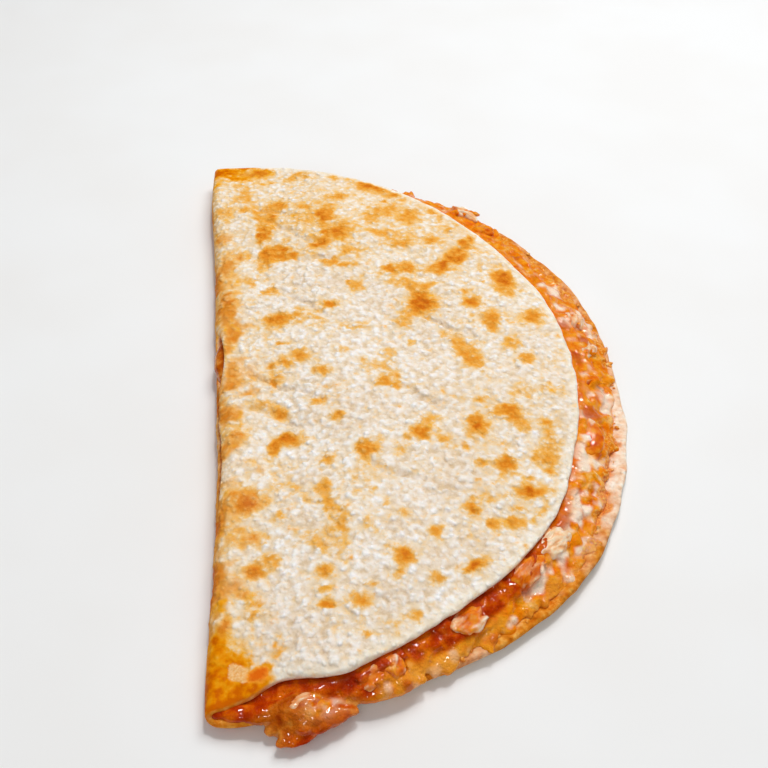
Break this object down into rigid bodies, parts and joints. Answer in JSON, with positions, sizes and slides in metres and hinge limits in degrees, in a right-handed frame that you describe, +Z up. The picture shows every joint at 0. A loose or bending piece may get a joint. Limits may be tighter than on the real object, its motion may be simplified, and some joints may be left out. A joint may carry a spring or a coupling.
{
  "type": "quesadilla",
  "caption": "Griddled flour tortilla folded in half over melted cheese and chicken, flat underside, filling showing along the curved side.",
  "frame": {"origin": "bottom centre of the bounding box, on the surface the food rests on", "axes": "+Z up, +Y along the fold towards its far end, +X from the fold towards the open curved side"},
  "size_m": [0.1371, 0.2594, 0.0134],
  "materials": {
    "tortilla": "dry, floury, blistered flatbread with golden-brown toasted spots",
    "cheese_filling": "glossy melted cheese in red chilli sauce",
    "chicken": "moist cooked chicken, glazed with sauce"
  },
  "bodies": {
    "root": {"tortilla": "tortilla", "filling": "cheese_filling", "chicken_1": "chicken", "chicken_2": "chicken", "chicken_3": "chicken", "chicken_4": "chicken", "chicken_5": "chicken", "chicken_6": "chicken", "chicken_7": "chicken", "chicken_8": "chicken", "chicken_9": "chicken", "chicken_10": "chicken", "chicken_11": "chicken", "chicken_12": "chicken"}
  },
  "joints": []
}
